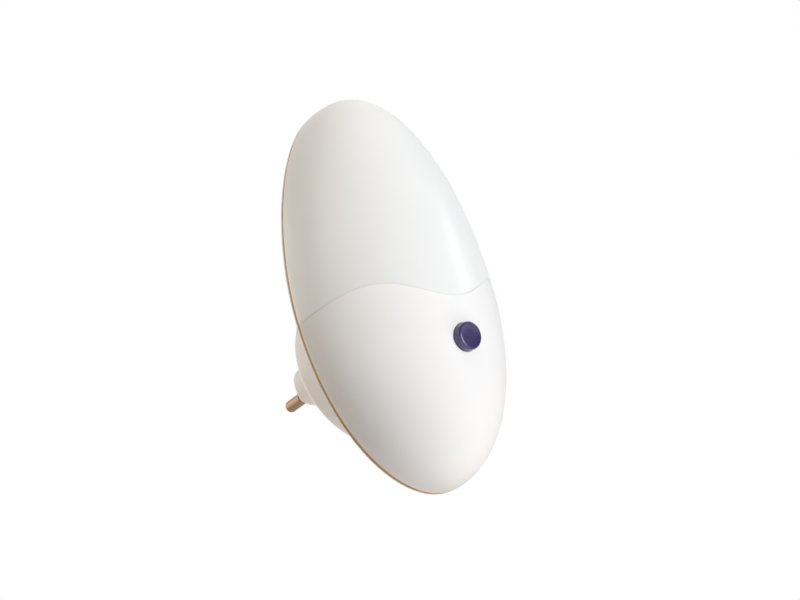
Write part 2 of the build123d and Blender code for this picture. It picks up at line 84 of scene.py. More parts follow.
RIM_GAP = 1.0 * MM
GAP_TAPER = 0.3            # how much wider the joint is at the foot, and narrower at the top
PLATE_LIP = 0.6 * MM
PLATE_EDGE = 0.25 * MM
PLATE_BREAK = 0.06 * MM
PLATE_FRONT = -0.4 * MM
BAND_INSET = 0.22 * MM
BAND_REAR = 1.35 * MM
BAND_SEAT = 0.05 * MM
TONGUE_INSET = 2.1 * MM
TONGUE_WALL = 1.2 * MM
TONGUE_HEIGHT = 3.0 * MM
TONGUE_BREAK = 0.15 * MM
RIM_POINTS = 240
DRUM_RADIUS = 28.0 * MM
DRUM_REAR = 17.6 * MM
DRUM_EDGE = 3.0 * MM
DRUM_FOOT = 1.5 * MM

NOSE_SIZE = (38.0 * MM, 12.8 * MM)
NOSE_CORNER = 5.2 * MM
NOSE_FLARE = (3.5 * MM, 3.2 * MM)
NOSE_FLARE_END = 0.6      # share of the nose's length over which it narrows
NOSE_FLARE_POWER = 2.14
NOSE_EDGE = 1.2 * MM
NOSE_STEPS = 24
NOSE_OVERLAP = 0.5 * MM   # how far the nose reaches into the round body
PIN_OFFSET = 9.5 * MM
PIN_RADIUS = 2.0 * MM
PIN_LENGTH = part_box("left_pin")[1].y
PIN_TIP = 0.8 * MM
PIN_BREAK = 0.15 * MM
PIN_NECK = 1.5 * MM
PIN_COVERED = 1.0 * MM    # length of the neck inside the sleeve
SLEEVE_RADIUS = 1.8 * MM
SLEEVE_ROOT = 2.3 * MM
SLEEVE_ROOT_DEPTH = 1.4 * MM
SLEEVE_WALL = 0.28 * MM
SLEEVE_LENGTH = 10.0 * MM

BUTTON_HEIGHT = -27.5 * MM
BUTTON_TILT = radians(11)
BUTTON_RADIUS = 4.3 * MM
BUTTON_PROUD = 2.2 * MM
BUTTON_EDGE = 0.45 * MM
BUTTON_DRAFT = 0.12 * MM   # the cap narrows by this much towards its face
BUTTON_LIP = 0.1 * MM      # flat ring between the dish and the rounded edge
BUTTON_DISH = 0.17 * MM
DISH_POWER = 4             # flat in the middle, steeper near the rim
DISH_STEPS = 24
BUTTON_BORE = 4.4 * MM
BORE_REACH = 8.0 * MM
FLANGE_RADIUS = 6.2 * MM
FLANGE_FRONT = 3.5 * MM    # both faces measured from the shell's face
FLANGE_REAR = 4.5 * MM

WELL_PLACE = (14.0 * MM, -16.4 * MM)
WELL_RADIUS = 2.9 * MM
WELL_DEPTH = 13.2 * MM
PIN_HOLE_DEPTH = 1.5 * MM
PIN_HOLE_PLAY = 0.02 * MM
HOLE_CHAMFER = 0.15 * MM
HOLE_BEYOND = 1.0 * MM     # how far a cutter reaches past the face it opens in
CLAMP_FACE = PLUG_FACE - 7.3 * MM
BOARD_REAR = 22.6 * MM
BOARD_SCREW = (17.5 * MM, 8.0 * MM)
LAMP_BOARD_FRONT = -6.0 * MM
LAMP_SCREW_HEIGHTS = (13.0 * MM, 41.0 * MM)


# ------------------------------------------------------------------ small tools
def link(name, mesh):
    """A new object with this mesh, in the scene."""
    piece = bpy.data.objects.new(name, mesh)
    bpy.context.scene.collection.objects.link(piece)
    return piece


def baked(piece):
    """The piece with its modifiers worked into a plain mesh."""
    bpy.context.view_layer.update()
    graph = bpy.context.evaluated_depsgraph_get()
    mesh = bpy.data.meshes.new_from_object(piece.evaluated_get(graph))
    mesh.name = piece.name
    piece.modifiers.clear()
    old = piece.data
    piece.data = mesh
    if old.users == 0:
        bpy.data.meshes.remove(old)
    return piece


def closed(piece):
    """Merges doubles and turns every face outwards."""
    bm = bmesh.new()
    bm.from_mesh(piece.data)
    bmesh.ops.remove_doubles(bm, verts=bm.verts, dist=MERGE)
    bmesh.ops.dissolve_degenerate(bm, edges=bm.edges, dist=MERGE / 10)
    bmesh.ops.recalc_face_normals(bm, faces=bm.faces)
    bm.to_mesh(piece.data)
    bm.free()
    return piece


def smooth(piece, angle=32):
    """Shades a piece smooth, with edges past the angle kept sharp."""
    for face in piece.data.polygons:
        face.use_smooth = True
    piece.data.set_sharp_from_angle(angle=radians(angle))
    return piece


def finish_piece(piece, body, slot_name, material, *nodes):
    """Gives a piece its material and its body, and hides the nodes that it stands for; the slot name is
    not used.
    """
    piece.data.materials.clear()
    piece.data.materials.append(material)
    for face in piece.data.polygons:
        face.material_index = 0
    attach(piece, body)
    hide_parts(*nodes)


def lathe(name, profile, frame_matrix, segments=96):
    """A closed turned mesh from (radius, height) points, about frame_matrix's Z."""
    bm = bmesh.new()
    rings = []
    for radius, height in profile:
        if radius < ON_AXIS:
            rings.append([bm.verts.new(frame_matrix @ Vector((0, 0, height)))])
            continue
        turn = [2 * pi * i / segments for i in range(segments)]
        rings.append([bm.verts.new(frame_matrix @ Vector((radius * cos(a), radius * sin(a), height)))
                      for a in turn])
    pairs = list(zip(rings, rings[1:]))
    if len(rings[0]) > 1 or len(rings[-1]) > 1:
        pairs.append((rings[-1], rings[0]))
    for low, high in pairs:
        for i in range(segments):
            j = (i + 1) % segments
            corners = [low[i % len(low)], low[j % len(low)], high[j % len(high)], high[i % len(high)]]
            corners = list(dict.fromkeys(corners))
            if len(corners) > 2:
                bm.faces.new(corners)
    bmesh.ops.recalc_face_normals(bm, faces=bm.faces)
    mesh = bpy.data.meshes.new(name)
    bm.to_mesh(mesh)
    bm.free()
    return link(name, mesh)


def arc(centre, radius, start, end, steps=8):
    """Points of an arc in a profile, angles in degrees."""
    angles = [radians(start + (end - start) * i / steps) for i in range(steps + 1)]
    return [(centre[0] + radius * cos(a), centre[1] + radius * sin(a)) for a in angles]


def cut(piece, cutter, operation="DIFFERENCE"):
    """Cuts one solid with another, or joins them, and removes the second."""
    change = piece.modifiers.new("cut", "BOOLEAN")
    change.operation = operation
    change.solver = "EXACT"
    change.object = cutter
    baked(piece)
    bpy.data.objects.remove(cutter)
    return piece


# ------------------------------------------------------------------ places
def frame_at(origin, z_axis, x_axis):
    """A place at origin with its Z along z_axis and its X nearest to x_axis."""
    z = Vector(z_axis).normalized()
    x = (Vector(x_axis) - Vector(x_axis).dot(z) * z).normalized()
    y = z.cross(x)
    turn = Matrix((x, y, z)).transposed().to_4x4()
    return Matrix.Translation(origin) @ turn


def half_width(z):
    """Half the shell's width at the rim, at a height."""
    share = min(1.0, abs(z) / HALF_HEIGHT)
    power = SHELL["Outline power"]
    egg = 1 - SHELL["Taper"] * z / HALF_HEIGHT
    return SHELL["Width"] / 2 * egg * (1 - share ** power) ** (1 / power)


def middle_depth(z):
    """How far the shell's middle line stands in front of the rim, at a height."""
    share = min(1.0, abs(z) / HALF_HEIGHT)
    lean = 1 + SHELL["Lean"] * z / HALF_HEIGHT
    return SHELL["Depth"] * lean * (1 - share ** SHELL["Profile power"]) ** (1 / SHELL["Profile root"])


def plug_frame(x, y, z=0.0):
    """Z runs into the wall; y is measured from the rim, z from the plug's axis."""
    return frame_at(Vector((x, RIM.y + y, z)), (0, 1, 0), (1, 0, 0))


def button_frame(depth=0.0):
    """Z runs into the shell along the button's axis, from the shell's face."""
    origin = RIM + Vector((0, -middle_depth(BUTTON_HEIGHT), BUTTON_HEIGHT))
    axis = Vector((0, cos(BUTTON_TILT), sin(BUTTON_TILT)))
    return frame_at(origin + axis * depth, axis, (1, 0, 0))


# ------------------------------------------------------------------ node wiring
class Wiring:
    """Adds nodes to a tree and joins them, taking numbers or sockets alike."""

    def __init__(self, tree):
        self.tree = tree

    def node(self, kind, **settings):
        made = self.tree.nodes.new(kind)
        for key, value in settings.items():
            setattr(made, key, value)
        return made

    def feed(self, socket, value):
        if isinstance(value, bpy.types.NodeSocket):
            self.tree.links.new(value, socket)
        else:
            socket.default_value = value

    def made(self, kind, inputs, **settings):
        """A node with its inputs fed by name, and its first output."""
        node = self.node(kind, **settings)
        for name, value in inputs.items():
            self.feed(node.inputs[name], value)
        return node.outputs[0]

    def math(self, operation, *values):
        node = self.node("ShaderNodeMath", operation=operation)
        for socket, value in zip(node.inputs, values):
            self.feed(socket, value)
        return node.outputs[0]

    def vector(self, *values):
        node = self.node("ShaderNodeCombineXYZ")
        for socket, value in zip(node.inputs, values):
            self.feed(socket, value)
        return node.outputs[0]

    def choose(self, index, values):
        """The value at an index, from a list of numbers or sockets."""
        node = self.node("GeometryNodeIndexSwitch", data_type="FLOAT")
        for _ in values[2:]:
            node.index_switch_items.new()
        self.feed(node.inputs["Index"], index)
        for i, value in enumerate(values):
            self.feed(node.inputs[str(i)], value)
        return node.outputs[0]


def open_group(name, sizes, counts=(), geometry=False):
    """A geometry tree with named inputs, its wiring and those inputs."""
    tree = bpy.data.node_groups.new(name, "GeometryNodeTree")
    face = tree.interface
    face.new_socket("Geometry", in_out="OUTPUT", socket_type="NodeSocketGeometry")
    if geometry:
        face.new_socket("Geometry", in_out="INPUT", socket_type="NodeSocketGeometry")
    for label, value in sizes:
        face.new_socket(label, in_out="INPUT", socket_type="NodeSocketFloat").default_value = value
    for label, value in counts:
        face.new_socket(label, in_out="INPUT", socket_type="NodeSocketInt").default_value = value
    face.new_socket("Axis", in_out="INPUT", socket_type="NodeSocketVector").default_value = (0, 0, 1)
    face.new_socket("Material", in_out="INPUT", socket_type="NodeSocketMaterial")
    w = Wiring(tree)
    return tree, w, w.node("NodeGroupInput").outputs


def close_group(w, geometry, material):
    """Ends a tree in real geometry that carries its material."""
    real = w.made("GeometryNodeRealizeInstances", {"Geometry": geometry})
    painted = w.made("GeometryNodeSetMaterial", {"Geometry": real, "Material": material})
    w.feed(w.node("NodeGroupOutput").inputs[0], painted)


def set_inputs(modifier, values):
    """Sets a geometry modifier's inputs by name."""
    names = {item.name: item.identifier for item in modifier.node_group.interface.items_tree
             if item.item_type == "SOCKET" and item.in_out == "INPUT"}
    for name, value in values.items():
        modifier[names[name]] = value


# ------------------------------------------------------------------ the egg-shaped skin
def egg_skin_tree():
    """A sheet of the egg-shaped dome, from the wave to one of its two ends."""
    sizes = [*SHELL.items(), ("End", HALF_HEIGHT), ("Gap", 0.0)]
    tree, w, given = open_group("egg_skin", sizes, (("Columns", SKIN_GRID), ("Rows", SKIN_GRID)))
    half_height = w.math("MULTIPLY", given["Height"], 0.5)

    def dome_share(height, power, root):
        """(1 - |z / half height| ** power) ** (1 / root)"""
        share = w.math("MINIMUM", w.math("DIVIDE", w.math("ABSOLUTE", height), half_height), 1.0)
        rest = w.math("SUBTRACT", 1.0, w.math("POWER", share, power))
        return w.math("POWER", w.math("MAXIMUM", rest, 0.0), w.math("DIVIDE", 1.0, root))

    def lean_factor(height, amount):
        return w.math("ADD", 1.0, w.math("MULTIPLY", amount, w.math("DIVIDE", height, half_height)))

    def width_at(height):
        taper = lean_factor(height, w.math("MULTIPLY", given["Taper"], -1.0))
        outline = dome_share(height, given["Outline power"], given["Outline power"])
        half = w.math("MULTIPLY", given["Width"], 0.5)
        return w.math("MULTIPLY", half, w.math("MULTIPLY", taper, outline))

    def depth_at(height):
        profile = dome_share(height, given["Profile power"], given["Profile root"])
        lean = lean_factor(height, given["Lean"])
        return w.math("MULTIPLY", given["Depth"], w.math("MULTIPLY", lean, profile))

    grid = w.made("GeometryNodeMeshGrid", {"Size X": 2.0, "Size Y": 1.0, "Vertices X": given["Columns"],
                                           "Vertices Y": given["Rows"]})
    place = w.node("ShaderNodeSeparateXYZ")
    w.feed(place.inputs[0], w.node("GeometryNodeInputPosition").outputs[0])
    turn = w.math("MULTIPLY", place.outputs[0], pi / 2)
    side = w.math("SINE", turn)

    seam = given["Wave middle"]
    for _ in range(SEAM_PASSES):
        across = w.math("MULTIPLY", width_at(seam), side)
        phase = w.math("DIVIDE", w.math("MULTIPLY", across, pi), given["Wave crest"])
        swing = w.math("SUBTRACT", 1.0, w.math("COSINE", phase))
        seam = w.math("ADD", given["Wave middle"],
                      w.math("MULTIPLY", w.math("MULTIPLY", given["Wave rise"], 0.5), swing))
    seam = w.math("ADD", seam, given["Gap"])

    share = w.math("SINE", w.math("MULTIPLY", w.math("ADD", place.outputs[1], 0.5), pi / 2))
    height = w.math("ADD", seam, w.math("MULTIPLY", w.math("SUBTRACT", given["End"], seam), share))
    crown = w.math("SUBTRACT", 1.0, w.math("POWER", w.math("ABSOLUTE", side), given["Crown power"]))
    crown = w.math("POWER", w.math("MAXIMUM", crown, 0.0), w.math("DIVIDE", 1.0, given["Crown root"]))
    depth = w.math("MULTIPLY", w.math("MULTIPLY", depth_at(height), crown), -1.0)
    position = w.vector(w.math("MULTIPLY", width_at(height), side), depth, height)
    moved = w.made("GeometryNodeSetPosition", {
        "Geometry": grid, "Position": position, "Offset": tuple(RIM)})
    merged = w.made("GeometryNodeMergeByDistance", {"Geometry": moved, "Distance": MERGE})
    close_group(w, merged, given["Material"])
    return tree


def egg_shell(name, tree, end, gap, material):
    """One half of the front shell with its wall, the edges lightly broken."""
    piece = link(name, bpy.data.meshes.new(name))
    skin = piece.modifiers.new("skin", "NODES")
    skin.node_group = tree
    set_inputs(skin, {"End": end, "Gap": gap, "Material": material})
    baked(piece)
    bm = bmesh.new()
    bm.from_mesh(piece.data)
    bmesh.ops.recalc_face_normals(bm, faces=bm.faces)
    middle = sum(f.normal.y for f in bm.faces) / len(bm.faces)
    if middle > 0:
        bmesh.ops.reverse_faces(bm, faces=bm.faces)
    bm.to_mesh(piece.data)
    bm.free()
    wall = piece.modifiers.new("wall", "SOLIDIFY")
    wall.thickness = WALL
    wall.offset = -1
    edge = piece.modifiers.new("edge", "BEVEL")
    edge.width = WAVE_EDGE
    edge.segments = 2
    edge.limit_method = "ANGLE"
    edge.angle_limit = radians(50)
    return closed(baked(piece))


# ------------------------------------------------------------------ self-tapping screws
SCREW = {
    "Head radius": 2.5 * MM,
    "Head height": 1.8 * MM,
    "Shank radius": 1.3 * MM,
    "Core radius": 1.02 * MM,
    "Length": 10.0 * MM,
    "Pitch": 0.95 * MM,
    "Recess length": 2.7 * MM,
    "Recess width": 0.72 * MM,
}


def screw_tree():
    """Screws at a mesh's points: a domed head with a cross recess, and a threaded, pointed shank."""
    tree, w, given = open_group("self_tapping_screws", SCREW.items(), (("Sides", 40),), geometry=True)
    head, height = given["Head radius"], given["Head height"]
    core, length = given["Core radius"], given["Length"]

    def part(size, share):
        return w.math("MULTIPLY", size, share)

    rings = [
        (0.0, part(length, -1.0)),
        (part(core, 0.25), part(length, -1.0)),
        (core, w.math("ADD", part(length, -1.0), part(core, 1.6))),
        (core, 0.0),
        (part(head, 0.97), 0.0),
        (head, part(height, 0.05)),
        (head, part(height, 0.4)),
        (part(head, 0.95), part(height, 0.66)),
        (part(head, 0.82), part(height, 0.87)),
        (part(head, 0.6), part(height, 0.98)),
        (part(head, 0.4), height),
        (0.0, height),
    ]
    last = len(rings) - 1
    sides = w.math("ADD", given["Sides"], 1.0)
    grid = w.made("GeometryNodeMeshGrid", {"Size X": 2 * pi, "Size Y": float(last), "Vertices X": sides,
                                           "Vertices Y": last + 1})
    place = w.node("ShaderNodeSeparateXYZ")
    w.feed(place.inputs[0], w.node("GeometryNodeInputPosition").outputs[0])
    ring = w.math("ROUND", w.math("ADD", place.outputs[1], last / 2))
    radius = w.choose(ring, [r for r, _ in rings])
    level = w.choose(ring, [z for _, z in rings])
    across = w.math("MULTIPLY", radius, w.math("COSINE", place.outputs[0]))
    along = w.math("MULTIPLY", radius, w.math("SINE", place.outputs[0]))
    body = w.made("GeometryNodeSetPosition", {
        "Geometry": grid, "Position": w.vector(across, along, level)})
    body = w.made("GeometryNodeMergeByDistance", {"Geometry": body, "Distance": MERGE})

    recess = w.node("GeometryNodeMeshBoolean", operation="DIFFERENCE", solver="EXACT")
    w.feed(recess.inputs["Mesh 1"], body)
    long, slim = given["Recess length"], given["Recess width"]
    for size in ((long, slim), (slim, long)):
        bar = w.made("GeometryNodeMeshCube", {"Size": w.vector(*size, part(height, 1.2))})
        bar = w.made("GeometryNodeTransform", {
            "Geometry": bar, "Translation": w.vector(0.0, 0.0, height)})
        w.feed(recess.inputs["Mesh 2"], bar)

    threaded = w.math("SUBTRACT", length, part(core, 1.6))
    crest = w.math("SUBTRACT", given["Shank radius"], core)
    helix = w.made("GeometryNodeCurveSpiral", {
        "Resolution": 20, "Rotations": w.math("DIVIDE", threaded, given["Pitch"]),
        "Start Radius": core, "End Radius": core, "Height": threaded})
    ridge = w.made("GeometryNodeCurvePrimitiveCircle", {"Resolution": 3, "Radius": crest})
    thread = w.made("GeometryNodeCurveToMesh", {"Curve": helix, "Profile Curve": ridge, "Fill Caps": True})
    thread = w.made("GeometryNodeTransform", {
        "Geometry": thread, "Translation": w.vector(0.0, 0.0, part(threaded, -1.0))})

    screw = w.node("GeometryNodeJoinGeometry")
    w.feed(screw.inputs[0], recess.outputs["Mesh"])
    w.feed(screw.inputs[0], thread)
    turned = w.made("FunctionNodeAlignRotationToVector", {"Vector": given["Axis"]}, axis="Z")
    placed = w.made("GeometryNodeInstanceOnPoints", {
        "Points": given["Geometry"], "Instance": screw.outputs[0], "Rotation": turned})
    close_group(w, placed, given["Material"])
    return tree


def screws(name, tree, seats, axis, length, material, node):
    """One group of like screws, their heads on the seats and pointing along axis."""
    mesh = bpy.data.meshes.new(name)
    mesh.from_pydata([tuple(seat) for seat in seats], [], [])
    piece = link(name, mesh)
    group = piece.modifiers.new("screws", "NODES")
    group.node_group = tree
    set_inputs(group, {"Length": length, "Axis": tuple(axis), "Material": material})
    smooth(closed(baked(piece)), 40)
    finish_piece(piece, "housing", "screw_steel", material, node)


# ------------------------------------------------------------------ materials
def linear(hex_colour):
    """A written colour such as 'E8E7E3' as linear light."""
    parts = [int(hex_colour[i:i + 2], 16) / 255 for i in (0, 2, 4)]
    return tuple(c / 12.92 if c < 0.04045 else ((c + 0.055) / 1.055) ** 2.4 for c in parts)


def new_material(name):
    """A material, its wiring, its shader and the Object coordinates that its patterns read."""
    material = bpy.data.materials.new(name)
    material.use_nodes = True
    w = Wiring(material.node_tree)
    place = w.node("ShaderNodeTexCoord").outputs["Object"]
    return material, w, material.node_tree.nodes["Principled BSDF"], place


def mottled(w, place, colour, tint, size, stretch=(1, 1, 1)):
    """A noise, and the colour varied by it."""
    mapping = w.made("ShaderNodeMapping", {"Vector": place, "Scale": stretch})
    cloud = w.made("ShaderNodeTexNoise", {"Vector": mapping, "Scale": 1 / size, "Detail": 3.0})
    ramp = w.node("ShaderNodeValToRGB")
    ramp.color_ramp.elements[0].position = 0.3
    ramp.color_ramp.elements[1].position = 0.7
    ramp.color_ramp.elements[0].color = (*[c * (1 - tint) for c in colour], 1)
    ramp.color_ramp.elements[1].color = (*[min(1, c * (1 + tint)) for c in colour], 1)
    w.feed(ramp.inputs[0], cloud)
    return cloud, ramp.outputs[0]


def roughened(w, shader, cloud, roughness, spread):
    """A roughness that wanders with the cloud by the spread each way."""
    w.feed(shader.inputs["Roughness"], w.made("ShaderNodeMapRange", {
        "Value": cloud, "To Min": roughness - spread, "To Max": roughness + spread}))


def grained(w, shader, place, strength, size, depth=0.02 * MM, stretch=(1, 1, 1)):
    """A fine relief over the surface."""
    mapping = w.made("ShaderNodeMapping", {"Vector": place, "Scale": stretch})
    fine = w.made("ShaderNodeTexNoise", {"Vector": mapping, "Scale": 1 / size, "Detail": 2.0})
    w.feed(shader.inputs["Normal"], w.made("ShaderNodeBump", {
        "Strength": strength, "Distance": depth, "Height": fine}))


def set_shader(shader, sockets):
    """Sets the shader's own sockets, named with _ for a space."""
    for key, value in sockets.items():
        shader.inputs[key.replace("_", " ")].default_value = value


def plastic(name, colour, roughness, grain=0.0, grain_size=0.4 * MM, tint=0.02, **sockets):
    """Moulded plastic: a slightly uneven colour and a fine surface grain."""
    material, w, shader, place = new_material(name)
    cloud, uneven = mottled(w, place, colour, tint, 22 * MM)
    w.feed(shader.inputs["Base Color"], uneven)
    roughened(w, shader, cloud, roughness, 0.03)
    if grain:
        grained(w, shader, place, grain, grain_size)
    set_shader(shader, sockets)
    return material


def metal(name, colour, roughness, lay=(1, 1, 1), lay_size=0.3 * MM):
    """Bare or plated metal with the lines left by turning or drawing across its lay."""
    material, w, shader, place = new_material(name)
    cloud, uneven = mottled(w, place, colour, 0.05, 4 * MM)
    w.feed(shader.inputs["Base Color"], uneven)
    roughened(w, shader, cloud, roughness, 0.06)
    grained(w, shader, place, 0.15, lay_size, 0.01 * MM, lay)
    set_shader(shader, {"Metallic": 1.0})
    return material


def laminate():
    """Paper laminate: tan, with short fibres showing through the resin."""
    material, w, shader, place = new_material("board_laminate")
    tan = linear("B9965F")
    fibres, streaked = mottled(w, place, tan, 0.16, 1.2 * MM, (1, 1, 0.25))
    w.feed(shader.inputs["Base Color"], streaked)
    roughened(w, shader, fibres, 0.42, 0.08)
    grained(w, shader, place, 0.2, 0.25 * MM)
    return material


def banded_enamel():
    """Pale enamel with plain colour bands, in steps out from each resistor's middle."""
    material, w, shader, place = new_material("resistor_enamel")
    split = w.node("ShaderNodeSeparateXYZ")
    w.feed(split.inputs[0], place)
    reach = 7.6 * MM
    off = w.math("ABSOLUTE", w.math("WRAP", split.outputs["X"], reach, -reach))
    ramp = w.node("ShaderNodeValToRGB")
    ramp.color_ramp.interpolation = "CONSTANT"
    enamel, brown, red = "8FB2C4", "5A2F1E", "A33A22"
    bands = ((0.0, enamel), (0.1, brown), (0.17, enamel), (0.27, red), (0.34, enamel))
    stops = ramp.color_ramp.elements
    while len(stops) < len(bands):
        stops.new(0.5)
    for stop, (position, colour) in zip(stops, bands):
        stop.position = position
        stop.color = (*linear(colour), 1)
    w.feed(ramp.inputs[0], w.math("DIVIDE", off, reach))
    w.feed(shader.inputs["Base Color"], ramp.outputs[0])
    cloud, _ = mottled(w, place, (1, 1, 1), 0.0, 3 * MM)
    roughened(w, shader, cloud, 0.25, 0.05)
    return material


EVEN = (1.0, 1.0, 1.0)
VIOLET_SHEEN = (0.76, 0.72, 1.0, 1.0)
LENS = plastic("frosted_lens", linear("E8E7E3"), 0.33, grain=0.12, tint=0.006,
               Subsurface_Weight=0.2, Subsurface_Scale=0.001, Subsurface_Radius=EVEN)
COVER = plastic("cover_plastic", linear("EDEAE6"), 0.68, grain=0.12, tint=0.006,
                Subsurface_Weight=0.1, Subsurface_Scale=0.001, Subsurface_Radius=EVEN,
                Specular_IOR_Level=0.35)
HOUSING = plastic("housing_plastic", linear("EFE9E4"), 0.5, grain=0.2, tint=0.01,
                  Specular_IOR_Level=0.4)
# painted shade: the golden-brown tone is the warm shade that falls in the recess behind the joint, painted
# into a darker copy of the housing's own plastic
JOINT_PAINTED_SHADE = plastic("joint_painted_shade", linear("C6A060"), 0.5, grain=0.1, tint=0.03)
BUTTON = plastic("button_plastic", linear("3A325A"), 0.16, grain=0.05, tint=0.03,
                 IOR=1.8, Specular_Tint=VIOLET_SHEEN)
PIN = metal("pin_metal", linear("8D7359"), 0.45, lay=(0.1, 1, 0.1))
SLEEVE = plastic("sleeve_plastic", linear("D5C9BE"), 0.5, grain=0.1, tint=0.01)
SCREW_STEEL = metal("screw_steel", linear("A8A8AA"), 0.32, lay_size=0.15 * MM)

INNER = {
    "pin_clamp": HOUSING,
    "switch_plunger": plastic("stem_plastic", linear("DAD8D0"), 0.45, grain=0.1),
    "switch_spring": metal("spring_steel", linear("9C9CA0"), 0.3, lay_size=0.1 * MM),
    "switch_body": plastic("switch_plastic", linear("1D1D20"), 0.45, grain=0.2),
    "switch_terminals": metal("terminal_metal", linear("C6C6C4"), 0.28),
    "power_board": laminate(),
    "dropper_capacitor": plastic("capacitor_case", linear("A8281C"), 0.28, grain=0.05, tint=0.04),
    "smoothing_capacitor": plastic("can_aluminium", linear("2C3450"), 0.3, grain=0.05, tint=0.05,
                                   Coat_Weight=0.3),
    "rectifier": plastic("rectifier_epoxy", linear("18181A"), 0.55, grain=0.35, grain_size=0.25 * MM),
    "fusible_resistor": banded_enamel(),
    "reflector_tray": plastic("tray_plastic", linear("F0F0EE"), 0.25, grain=0.04, tint=0.008),
    "leds": plastic("led_epoxy", linear("F4F2E2"), 0.12, tint=0.01, Coat_Weight=0.5,
                    Subsurface_Weight=0.4, Subsurface_Scale=0.002),
    "live_lead": plastic("lead_insulation", linear("D8D6D0"), 0.4, grain=0.1, tint=0.02),
}
SHARED = {
    "resistors": "fusible_resistor",
    "lamp_board": "power_board",
    "neutral_lead": "live_lead",
    "lamp_live_lead": "live_lead",
    "lamp_return_lead": "live_lead",
}


# ------------------------------------------------------------------ shells
def shells():
    """The lens and the cover, with the button's bore through the cover."""
    tree = egg_skin_tree()
    lens = smooth(egg_shell("lens_shell", tree, HALF_HEIGHT, WAVE_GAP, LENS))
    cover = egg_shell("cover_shell", tree, -HALF_HEIGHT, 0.0, COVER)
    bore = [(0, -BORE_REACH), (BUTTON_BORE, -BORE_REACH), (BUTTON_BORE, BORE_REACH), (0, BORE_REACH)]
    smooth(cut(cover, lathe("bore", bore, button_frame())))
    finish_piece(lens, "housing", "lens_plastic", LENS, "diffuser_lens")
    finish_piece(cover, "housing", "cover_plastic", COVER, "front_cover")


# ------------------------------------------------------------------ rear housing
def rim_outline(inset):
    """The rim's outline, moved in by inset, once round."""
    points = []
    for i in range(RIM_POINTS):
        angle = 2 * pi * i / RIM_POINTS
        z = (HALF_HEIGHT - inset) * sin(angle)
        scale = (SHELL["Width"] / 2 - inset) / (SHELL["Width"] / 2)
        x = half_width(z * HALF_HEIGHT / (HALF_HEIGHT - inset)) * scale
        points.append((x if cos(angle) >= 0 else -x, z))
    return points


def loft_rings(name, rings, ends=True):
    """A closed mesh through rings of equal count."""
    bm = bmesh.new()
    rows = [[bm.verts.new(point) for point in ring] for ring in rings]
    count = len(rows[0])
    for low, high in zip(rows, rows[1:]):
        for i in range(count):
            j = (i + 1) % count
            bm.faces.new((low[i], low[j], high[j], high[i]))
    if ends:
        bm.faces.new(rows[0])
        bm.faces.new(rows[-1])
    bmesh.ops.recalc_face_normals(bm, faces=bm.faces)
    mesh = bpy.data.meshes.new(name)
    bm.to_mesh(mesh)
    bm.free()
    return link(name, mesh)


def rim_ring(inset, y):
    """The rim's outline at a depth."""
    return [RIM + Vector((x, y, z)) for x, z in rim_outline(inset)]


def joint_ring(inset, behind):
    """The rear side of the joint, which opens a little towards the foot."""
    return [RIM + Vector((x, RIM_GAP * (1 - GAP_TAPER * z / HALF_HEIGHT) + behind, z))
            for x, z in rim_outline(inset)]


def back_plate():
    """The thin lip outside the joint, rounded behind."""
    rear = RIM_GAP + PLATE_LIP
    turns = [radians(90 - 15 * i) for i in range(7)]
    rounding = [(PLATE_EDGE * (1 - sin(a)), rear - PLATE_EDGE * (1 - cos(a))) for a in turns]
    front = [joint_ring(PLATE_BREAK, 0.0), joint_ring(0.0, PLATE_BREAK)]
    return loft_rings("back_plate", front + [rim_ring(inset, y) for inset, y in rounding])


def plate_core():
    """The plate's thickness inside the shell, behind the tongue's wall."""
    inset = TONGUE_INSET + TONGUE_WALL / 2
    rear = RIM_GAP + PLATE_LIP / 2
    return loft_rings("plate_core", [rim_ring(inset, PLATE_FRONT), rim_ring(inset, rear)])


def tongue():
    """The wall that stands inside the shell's rim, and the wider band that shows in the joint."""
    outer, inner = TONGUE_INSET, TONGUE_INSET + TONGUE_WALL
    loop = [
        (BAND_INSET, BAND_REAR), (BAND_INSET, BAND_SEAT), (outer, BAND_SEAT),
        (outer, TONGUE_BREAK - TONGUE_HEIGHT), (outer + TONGUE_BREAK, -TONGUE_HEIGHT),
        (inner, -TONGUE_HEIGHT), (inner, BAND_REAR), (BAND_INSET, BAND_REAR),
    ]
    return closed(loft_rings("joint_tongue", [rim_ring(inset, y) for inset, y in loop], ends=False))


def rounded_rectangle(width, height, corner):
    """The points of a rectangle with round corners, once round."""
    points = []
    for quarter, (sx, sz) in enumerate(((1, 1), (-1, 1), (-1, -1), (1, -1))):
        centre = (sx * (width / 2 - corner), sz * (height / 2 - corner))
        points += arc(centre, corner, 90 * quarter, 90 * quarter + 90, 10)
    return points


def plug_nose():
    """The flat nose, flaring into the round body and rounded at its end."""
    rings = []
    foot = DRUM_REAR - NOSE_OVERLAP
    for i in range(NOSE_STEPS + 1):
        share = i / NOSE_STEPS
        widening = max(0.0, 1 - share / NOSE_FLARE_END) ** NOSE_FLARE_POWER
        y = foot + (PLUG_FACE - NOSE_EDGE - foot) * share
        width = NOSE_SIZE[0] + 2 * NOSE_FLARE[0] * widening
        height = NOSE_SIZE[1] + 2 * NOSE_FLARE[1] * widening
        corner = NOSE_CORNER + NOSE_FLARE[1] * widening * 0.9
        rings.append((width, height, corner, y))
    for i in range(1, 7):
        angle = radians(15 * i)
        inset = NOSE_EDGE * (1 - cos(angle))
        y = PLUG_FACE - NOSE_EDGE + NOSE_EDGE * sin(angle)
        rings.append((NOSE_SIZE[0] - 2 * inset, NOSE_SIZE[1] - 2 * inset, NOSE_CORNER - inset, y))
    return loft_rings("nose", [
        [Vector((x, RIM.y + y, z)) for x, z in rounded_rectangle(width, height, corner)]
        for width, height, corner, y in rings])


